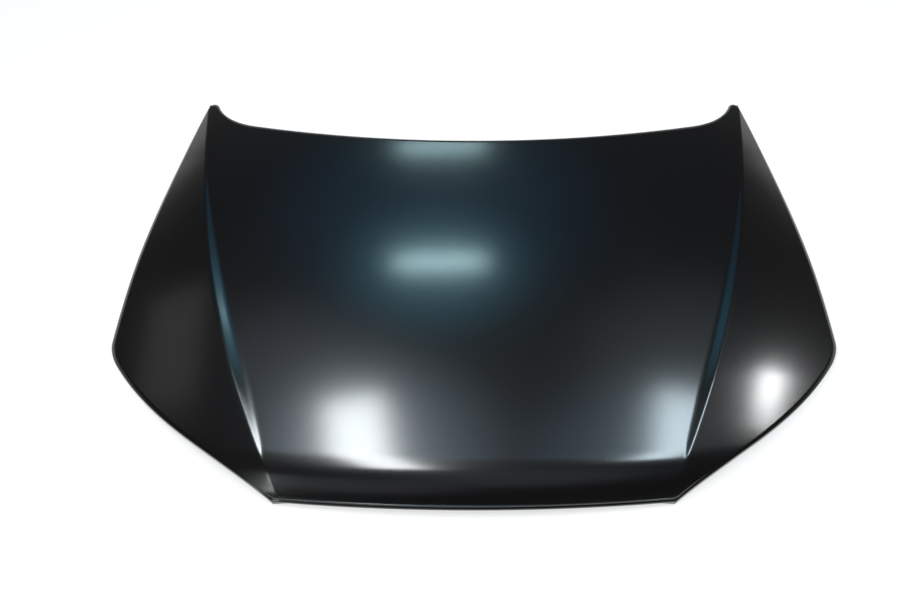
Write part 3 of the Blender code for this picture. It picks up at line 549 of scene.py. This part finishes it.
BOLT_SIDES = 48
FLAT_TO_MIDDLE = 0.0065
FACE_RADIUS = FLAT_TO_MIDDLE * 0.96
EDGE_BREAK = 0.0002
NUT_HEIGHT = 0.007
NUT_BORE = 0.0040
NUT_CHAMFER = math.radians(30.0)
NUT_LEAD_IN = 0.0005
NUT_THREAD_INSET = 0.0003
THREAD_PITCH = 0.00125
THREAD_DEPTH = 0.00045
THREAD_STEPS = 8
FASTENER_SMOOTH = math.radians(32.0)
LEVEL = (0.0, 0.0, 0.0)

ZINC_DARKER = (0.46, 0.46, 0.43)
ZINC_PALER = (0.66, 0.66, 0.64)
ZINC_GRAIN_HEIGHT = 0.00003

zinc = Recipe("zinc_plated_steel")
zinc_clouds = zinc.noise(90.0, detail=4.0)
zinc_grain = zinc.noise(900.0, detail=2.0)
zinc.set_shader({
    "Base Color": zinc.two_tone(zinc_clouds, ZINC_DARKER, ZINC_PALER),
    "Roughness": 0.28 + zinc_clouds * 0.20,
    "Metallic": 1.0,
    "Normal": zinc.bump(zinc_grain, ZINC_GRAIN_HEIGHT),
})


def hexagon_reach(angle):
    """Distance from the middle of the hexagon to its side, at an angle."""
    return FLAT_TO_MIDDLE / math.cos(angle % math.radians(60.0) - math.radians(30.0))


def chamfer_drop(angle):
    """How far a cone has cut the hexagon's edge back, at an angle."""
    return (hexagon_reach(angle) - FACE_RADIUS) * math.tan(NUT_CHAMFER)


def thread_reach(angle, height, radius):
    """Distance from the axis to a threaded surface that winds up round it."""
    turn = (height / THREAD_PITCH - angle / math.tau) % 1.0
    return radius + THREAD_DEPTH * abs(2.0 * turn - 1.0)


def ring_of(reach, height):
    """One ring of points round the vertical axis. Both values may depend on the angle."""
    ring = []
    for k in range(BOLT_SIDES):
        angle = math.tau * k / BOLT_SIDES
        radius = reach(angle) if callable(reach) else reach
        level = height(angle) if callable(height) else height
        ring.append((radius * math.cos(angle), radius * math.sin(angle), level))
    return ring


def joined(rings, closed):
    """Points and faces of a solid through the rings, closed back to the first one or capped at both ends."""
    count = len(rings[0])
    points = [point for ring in rings for point in ring]
    faces = []
    for r in range(len(rings) if closed else len(rings) - 1):
        above = (r + 1) % len(rings)
        for k in range(count):
            onward = (k + 1) % count
            faces.append((r * count + k, r * count + onward, above * count + onward, above * count + k))
    if not closed:
        faces.append(tuple(reversed(range(count))))
        faces.append(tuple((len(rings) - 1) * count + k for k in range(count)))
    return points, faces


def thread_rings(levels, radius):
    """Rings of a threaded surface, one at each level."""
    return [ring_of(lambda angle: thread_reach(angle, level, radius), level) for level in levels]


nut_rings = [
    ring_of(lambda angle: hexagon_reach(angle) - EDGE_BREAK, 0.0),
    ring_of(hexagon_reach, EDGE_BREAK),
    ring_of(hexagon_reach, lambda angle: NUT_HEIGHT - chamfer_drop(angle)),
    ring_of(FACE_RADIUS, NUT_HEIGHT),
    ring_of(NUT_BORE + NUT_LEAD_IN, NUT_HEIGHT),
]
thread_run = NUT_HEIGHT - NUT_LEAD_IN
thread_rows = round(THREAD_STEPS * thread_run / THREAD_PITCH)
nut_levels = [thread_run * (1.0 - row / thread_rows) for row in range(thread_rows)]
nut_rings += thread_rings(nut_levels, NUT_BORE - NUT_THREAD_INSET)
nut_rings.append(ring_of(NUT_BORE, 0.0))

copies_group = bpy.data.node_groups.new("copies_at_places", "GeometryNodeTree")
GROUP_INPUTS = {
    "Places": "NodeSocketGeometry",
    "Pattern": "NodeSocketObject",
    "Material": "NodeSocketMaterial",
    "Most Turn": "NodeSocketFloat",
    "Seed": "NodeSocketInt",
}
for socket_name, socket_kind in GROUP_INPUTS.items():
    copies_group.interface.new_socket(name=socket_name, in_out="INPUT", socket_type=socket_kind)
copies_group.interface.new_socket(name="Copies", in_out="OUTPUT", socket_type="NodeSocketGeometry")

copies = Nodes(copies_group)
given = copies.add("NodeGroupInput", {}, {})
vector = {"data_type": "FLOAT_VECTOR"}
tilt = copies.add("GeometryNodeInputNamedAttribute", vector, {"Name": "tilt"}, "Attribute")
one_object = {"Object": given["Pattern"], "As Instance": True}
pattern = copies.add("GeometryNodeObjectInfo", {}, one_object, "Geometry")
chance = {"Max": given["Most Turn"], "Seed": given["Seed"]}
turn = copies.add("FunctionNodeRandomValue", {"data_type": "FLOAT"}, chance, "Value")
spin = copies.add("ShaderNodeCombineXYZ", {}, {"Z": turn})
placed = copies.add("GeometryNodeInstanceOnPoints", {}, {
    "Points": given["Places"],
    "Instance": pattern,
    "Rotation": tilt,
})
turned = copies.add("GeometryNodeRotateInstances", {}, {
    "Instances": placed,
    "Rotation": spin,
    "Local Space": True,
})
real = copies.add("GeometryNodeRealizeInstances", {}, {"Geometry": turned})
coated = copies.add("GeometryNodeSetMaterial", {}, {"Geometry": real, "Material": given["Material"]})
copies.add("NodeGroupOutput", {}, {"Copies": coated})


def add_copies(name, rings, closed, places, tilts, material, most_turn, seed, smooth_angle):
    """One plain mesh with a copy of the solid at each place, tilted as given and turned by chance."""
    points, faces = joined(rings, closed)
    pattern_piece = add_piece(name + "_pattern", points, faces, material, smooth_angle)
    piece = add_piece(name, places, [], material)
    attribute = piece.data.attributes.new("tilt", "FLOAT_VECTOR", "POINT")
    for item, angles in zip(attribute.data, tilts):
        item.vector = angles
    modifier = piece.modifiers.new("copies", "NODES")
    modifier.node_group = copies_group
    values = {"Pattern": pattern_piece, "Material": material, "Most Turn": most_turn, "Seed": seed}
    for socket in copies_group.interface.items_tree:
        if socket.in_out == "INPUT" and socket.name in values:
            modifier[socket.identifier] = values[socket.name]
    evaluated = piece.evaluated_get(bpy.context.evaluated_depsgraph_get())
    plain = bpy.data.meshes.new_from_object(evaluated)
    piece.modifiers.remove(modifier)
    piece.data = plain
    bpy.data.objects.remove(pattern_piece)
    return piece


def seats_of(names):
    """Middle of the underside of each CAD solid."""
    places = []
    for name in names:
        low, high = (Vector(corner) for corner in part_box(name))
        middle = (low + high) / 2.0
        places.append((middle.x, middle.y, low.z))
    return places


nut_names = sorted(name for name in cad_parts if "weld_nut" in name)
nuts = add_copies(
    "weld_nuts", nut_rings, True, seats_of(nut_names), [LEVEL] * len(nut_names), zinc.material,
    0.0, 0, FASTENER_SMOOTH,
)
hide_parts(*nut_names)
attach(nuts, "root")

# Striker bolts
# Two M8 flange bolts that hold the striker from below, screwed up into the weld nuts. Forged heads with a
# dished top, rolled threads and tapered tips, in zinc-plated steel.

FLANGE_RADIUS = 0.0085
FLANGE_HEIGHT = 0.0018
FLANGE_SHOULDER = 0.0011
FLANGE_RIM = 0.0009
FLANGE_BREAK = 0.0001
HEAD_HEIGHT = 0.0055
HEAD_TOP = HEAD_HEIGHT + FLANGE_HEIGHT
HEAD_FILLET = 0.0003
DISH_DEPTH = 0.0006
DISH_MIDDLE = 0.0002
DISH_FLOOR = FLAT_TO_MIDDLE * 0.55
DISH_RIM = FLAT_TO_MIDDLE * 0.72
BOLT_CORE = 0.0034
TIP_LENGTH = 0.0015
TIP_SHARE = 0.84

bolt_names = sorted(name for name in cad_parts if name.startswith("striker_bolt"))
bolt_low, bolt_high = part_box(bolt_names[0])
bolt_length = bolt_high[2] - bolt_low[2]
thread_end = bolt_length - TIP_LENGTH
bolt_rings = [
    ring_of(DISH_MIDDLE, DISH_DEPTH),
    ring_of(DISH_FLOOR, DISH_DEPTH),
    ring_of(DISH_RIM, 0.0),
    ring_of(FACE_RADIUS, 0.0),
    ring_of(hexagon_reach, chamfer_drop),
    ring_of(hexagon_reach, HEAD_HEIGHT - HEAD_FILLET),
    ring_of(lambda angle: hexagon_reach(angle) + HEAD_FILLET, HEAD_HEIGHT),
    ring_of(FLANGE_RADIUS - EDGE_BREAK, HEAD_TOP - FLANGE_SHOULDER),
    ring_of(FLANGE_RADIUS, HEAD_TOP - FLANGE_RIM),
    ring_of(FLANGE_RADIUS, HEAD_TOP - FLANGE_BREAK),
    ring_of(FLANGE_RADIUS - FLANGE_BREAK, HEAD_TOP),
    ring_of(BOLT_CORE + THREAD_DEPTH, HEAD_TOP),
]
thread_rows = round(THREAD_STEPS * (thread_end - HEAD_TOP) / THREAD_PITCH)
bolt_levels = [mix(HEAD_TOP, thread_end, (row + 0.5) / thread_rows) for row in range(thread_rows)]
bolt_rings += thread_rings(bolt_levels, BOLT_CORE)
bolt_rings.append(ring_of(BOLT_CORE, thread_end))
bolt_rings.append(ring_of(BOLT_CORE * TIP_SHARE, bolt_length))
bolts = add_copies(
    "striker_bolts", bolt_rings, False, seats_of(bolt_names), [LEVEL] * len(bolt_names), zinc.material,
    math.radians(60.0), 4, FASTENER_SMOOTH,
)
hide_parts(*bolt_names)
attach(bolts, "root")

# Striker hoop
# An 8 mm steel rod bent into a hoop that the bonnet lock catches, its ends welded to the striker plate with a
# bead round each. Zinc plated.

ROD_RADIUS = 0.004
ROD_SIDES = 32
ROD_BEND = 0.010
ROD_BEND_STEPS = 14
BEAD_RADIUS = 0.0013
BEAD_SIDES = 12
BEAD_STEPS = 72
BEAD_RIPPLES = 18
BEAD_RIPPLE = 0.00018
BEAD_STAND_OFF = 0.0002
BEAD_SINK = 0.0004
BEAD_FLATNESS = 0.9
ROD_SMOOTH = math.radians(50.0)

rod_low, rod_high = (Vector(corner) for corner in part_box("striker_hoop"))
rod_y = (rod_low.y + rod_high.y) / 2.0
rod_x = rod_high.x - ROD_RADIUS
rod_z = rod_low.z + ROD_RADIUS
rod_path = [(Vector((-rod_x, rod_y, rod_high.z)), 0.0)]
for quarter in range(ROD_BEND_STEPS + 1):
    a = math.radians(90.0) * quarter / ROD_BEND_STEPS
    x = -rod_x + ROD_BEND * (1.0 - math.cos(a))
    rod_path.append((Vector((x, rod_y, rod_z + ROD_BEND * (1.0 - math.sin(a)))), a))
rod_path += [(Vector((-p.x, p.y, p.z)), math.pi - a) for p, a in reversed(rod_path)]
rod_rings = []
for middle, a in rod_path:
    side = Vector((math.cos(a), 0.0, math.sin(a)))
    ring = []
    for k in range(ROD_SIDES):
        angle = math.tau * k / ROD_SIDES
        across = Vector((0.0, ROD_RADIUS * math.sin(angle), 0.0))
        ring.append(middle + side * ROD_RADIUS * math.cos(angle) - across)
    rod_rings.append(ring)
rod_points, rod_faces = joined(rod_rings, False)
for sign in (-1.0, 1.0):
    bead_rings = []
    for s in range(BEAD_STEPS):
        around = math.tau * s / BEAD_STEPS
        thick = BEAD_RADIUS + BEAD_RIPPLE * math.sin(BEAD_RIPPLES * around)
        bead_ring = []
        for k in range(BEAD_SIDES):
            a = math.tau * k / BEAD_SIDES
            reach = ROD_RADIUS + BEAD_STAND_OFF + thick * math.cos(a)
            height = rod_high.z - BEAD_SINK - thick * math.sin(a) * BEAD_FLATNESS
            bead_x = sign * rod_x + reach * math.cos(around)
            bead_ring.append((bead_x, rod_y + reach * math.sin(around), height))
        bead_rings.append(bead_ring)
    bead_points, bead_faces = joined(bead_rings, True)
    offset = len(rod_points)
    rod_points += bead_points
    rod_faces += [tuple(offset + corner for corner in face) for face in bead_faces]
rod = add_piece("striker_rod", rod_points, rod_faces, zinc.material, ROD_SMOOTH)
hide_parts("striker_hoop")
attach(rod, "root")

# Mastic
# Sixteen drops of grey anti-flutter mastic between the frame's lands and the skin, laid on the frame and
# squeezed out to uneven rounds as the two sheets were closed.

DROP_RADIUS = 0.0060
DROP_HEIGHT = 0.0036
DROP_ROWS = 9
DROP_BULGE = 0.16
DROP_OVAL = 0.05
DROP_LOBES = 0.03
DROP_SMOOTH = math.radians(60.0)
SLOPE_STEP = 0.004
MASTIC_DARKER = (0.07, 0.07, 0.07)
MASTIC_PALER = (0.13, 0.13, 0.125)
MASTIC_GRAIN_HEIGHT = 0.0004

mastic = Recipe("grey_mastic")
mastic_grain = mastic.noise(260.0, detail=3.0)
mastic.set_shader({
    "Base Color": mastic.two_tone(mastic_grain, MASTIC_DARKER, MASTIC_PALER),
    "Roughness": 0.85,
    "Normal": mastic.bump(mastic_grain, MASTIC_GRAIN_HEIGHT),
})


def drop_outline(share):
    """A bulging, slightly uneven round, at a share of the drop's height."""
    bulge = 1.0 + DROP_BULGE * math.sin(math.pi * share)

    def reach(angle):
        oval = DROP_OVAL * math.sin(2.0 * angle + share)
        lobes = DROP_LOBES * math.sin(5.0 * angle)
        return DROP_RADIUS * bulge * (1.0 + oval + lobes)

    return reach


def skin_slope(place, step_x, step_y):
    """Rise over run of the skin, along a short step in X or Y."""
    ahead = crown_height(place.x + step_x, place.y + step_y)
    back = crown_height(place.x - step_x, place.y - step_y)
    return (ahead - back) / SLOPE_STEP / 2.0


drop_rings = []
for row in range(DROP_ROWS + 1):
    share = row / DROP_ROWS
    drop_rings.append(ring_of(drop_outline(share), DROP_HEIGHT * (share - 0.5)))
drop_names = sorted(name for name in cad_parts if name.startswith("mastic"))
drop_places = []
drop_tilts = []
for name in drop_names:
    middle = sum((Vector(corner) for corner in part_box(name)), Vector()) / 2.0
    up = Vector((-skin_slope(middle, SLOPE_STEP, 0.0), -skin_slope(middle, 0.0, SLOPE_STEP), 1.0))
    drop_places.append(middle)
    drop_tilts.append(up.to_track_quat("Z", "Y").to_euler())
drops = add_copies(
    "mastic_drops", drop_rings, False, drop_places, drop_tilts, mastic.material,
    math.tau, 7, DROP_SMOOTH,
)
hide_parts(*drop_names)
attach(drops, "root")

# Floor, lamps and camera
# A pale floor, two ceiling strip lamps behind the bonnet, a soft box over each front side, a window lamp
# beside each wing and a long strip lamp at the front left. What shines mirrors a dark studio with a low
# white wall.

FLOOR_HALF = 9.0
FLOOR_GLOW = 0.68

floor_finish = Recipe("pale_floor")
floor_paths = floor_finish.add("ShaderNodeLightPath", {}, {}, "Is Camera Ray")
seen = floor_paths + floor_paths["Is Glossy Ray"] + floor_paths["Is Transmission Ray"]
floor_finish.set_shader({
    "Base Color": (0.40, 0.40, 0.40, 1.0),
    "Roughness": 0.9,
    "Specular IOR Level": 0.0,
    "Emission Color": seen * FLOOR_GLOW,
    "Emission Strength": 1.0,
})
floor_corners = [(-FLOOR_HALF, -FLOOR_HALF, 0.0), (FLOOR_HALF, -FLOOR_HALF, 0.0)]
floor_corners += [(FLOOR_HALF, FLOOR_HALF, 0.0), (-FLOOR_HALF, FLOOR_HALF, 0.0)]
floor = add_piece("floor", floor_corners, [(0, 1, 2, 3)], floor_finish.material)


def soft_box(name, centre, width, depth, radiance, colour, turn=0.0, aim=None):
    """A rectangular lamp of a given brightness that hangs level or faces aim, turned about its own axis."""
    light = bpy.data.lights.new(name, "AREA")
    light.shape = "RECTANGLE"
    light.size = width
    light.size_y = depth
    light.energy = radiance * math.pi * width * depth
    light.color = colour
    lamp = bpy.data.objects.new(name, light)
    lamp.location = centre
    facing = Vector((0.0, 0.0, 1.0)) if aim is None else Vector(centre) - Vector(aim)
    lamp.rotation_euler = (facing.to_track_quat("Z", "Y") @ Quaternion((0.0, 0.0, 1.0), turn)).to_euler()
    bpy.context.scene.collection.objects.link(lamp)


CEILING = 2.8
soft_box("strip_lamp_far", (-0.32, 4.05, CEILING), 0.84, 0.24, 17.9, (0.64, 0.97, 1.0))
soft_box("strip_lamp_near", (-0.265, 1.90, CEILING), 0.70, 0.15, 23.4, (0.66, 0.97, 1.0))
soft_box("soft_box_left", (-0.715, -0.42, CEILING), 0.42, 1.86, 22.6, (0.94, 0.985, 1.0), turn=0.14)
soft_box("soft_box_right", (1.40, -0.11, CEILING), 0.36, 1.44, 17.2, (0.76, 0.92, 1.0), turn=-0.12)
soft_box("window_right", (3.20, 0.52, CEILING), 0.34, 0.70, 39.0, (0.97, 0.99, 1.0), turn=-0.22)
soft_box("window_left", (-3.40, 1.15, CEILING), 1.00, 1.80, 0.47, (1.0, 0.96, 0.93))
soft_box(
    "strip_lamp_left", (-2.19, -3.16, 1.72), 0.18, 2.00, 10.1, (0.95, 1.0, 1.0),
    turn=0.27, aim=(-0.37, -0.48, 0.06),
)

WALL_HEIGHTS = (0.20, 0.31)
WALL_BRIGHTNESS = 0.98
WALL_SIDES = (-0.3, 0.3)
STUDIO_DARK = 0.02
AMBIENT = (0.12, 0.12, 0.125, 1.0)
WHITE = (1.0, 1.0, 1.0, 1.0)
SOFT = {"interpolation_type": "SMOOTHSTEP"}

world = bpy.data.worlds.new("studio")
bpy.context.scene.world = world
world.use_nodes = True
world.node_tree.nodes.clear()
sky = Nodes(world.node_tree)

direction = sky.add("ShaderNodeTexCoord", {}, {}, "Generated")
heading = sky.add("ShaderNodeSeparateXYZ", {}, {0: direction})
low = sky.add("ShaderNodeMapRange", SOFT, {
    "Value": heading["Z"],
    "From Min": WALL_HEIGHTS[0],
    "From Max": WALL_HEIGHTS[1],
    "To Min": WALL_BRIGHTNESS,
    "To Max": 0.0,
})
behind = sky.add("ShaderNodeMapRange", SOFT, {
    "Value": heading["Y"],
    "From Min": WALL_SIDES[0],
    "From Max": WALL_SIDES[1],
})
wall = low * behind + STUDIO_DARK
paths = sky.add("ShaderNodeLightPath", {}, {}, "Is Camera Ray")
mirrored = paths["Is Glossy Ray"] + paths["Is Transmission Ray"]


def glow(below, aim, radius, colour):
    """Adds light that fades out round one direction of the studio, as round the lamps of a lit ceiling."""
    ends = {0: direction, 1: Vector(aim).normalized()}
    nearness = sky.add("ShaderNodeVectorMath", {"operation": "DOT_PRODUCT"}, ends, "Value")
    share = sky.add("ShaderNodeMapRange", SOFT, {
        "Value": nearness,
        "From Min": math.cos(math.radians(radius)),
        "From Max": 1.0,
    })
    colours = {0: share, MIX_FIRST_COLOUR: below, MIX_SECOND_COLOUR: (*colour, 1.0)}
    return sky.add("ShaderNodeMix", {"data_type": "RGBA", "blend_type": "ADD"}, colours, MIX_RESULT)


studio_colour = sky.add("ShaderNodeCombineColor", {}, {channel: wall for channel in range(3)})
for aim, radius, colour in (
    ((-0.06, 0.69, 0.72), 20.0, (0.01, 0.13, 0.27)),
    ((-0.07, 0.56, 0.83), 11.0, (0.09, 0.56, 0.82)),
    ((-0.17, 0.15, 0.97), 15.0, (0.86, 1.25, 1.56)),
    ((0.27, 0.12, 0.95), 13.0, (0.43, 0.66, 0.90)),
    ((0.1, -0.55, 0.83), 20.0, (0.23, 0.26, 0.31)),
    ((-0.33, 0.31, 0.89), 14.0, (0.33, 0.39, 0.47)),
    ((0.37, 0.36, 0.86), 14.0, (0.25, 0.30, 0.33)),
    ((-0.25, -0.75, 0.61), 17.0, (0.27, 0.29, 0.33)),
):
    studio_colour = glow(studio_colour, aim, radius, colour)

ambient = sky.add("ShaderNodeBackground", {}, {"Color": AMBIENT})
studio = sky.add("ShaderNodeBackground", {}, {"Color": studio_colour})
backdrop = sky.add("ShaderNodeBackground", {}, {"Color": WHITE})
lit = sky.add("ShaderNodeMixShader", {}, {0: mirrored, 1: ambient, 2: studio})
shown = sky.add("ShaderNodeMixShader", {}, {0: paths, 1: lit, 2: backdrop})
sky.add("ShaderNodeOutputWorld", {}, {"Surface": shown})

CAMERA_PLACE = (0.0, -1.2035, 1.8337)
CAMERA_PITCH = 57.524
lens = bpy.data.cameras.new("camera")
lens.lens = 40.0
lens.sensor_width = 36.0
lens.shift_x = -0.0266
camera = bpy.data.objects.new("camera", lens)
camera.location = CAMERA_PLACE
camera.rotation_euler = (math.radians(90.0 - CAMERA_PITCH), 0.0, 0.0)
bpy.context.scene.collection.objects.link(camera)
bpy.context.scene.camera = camera
bpy.context.scene.view_settings.view_transform = "Standard"
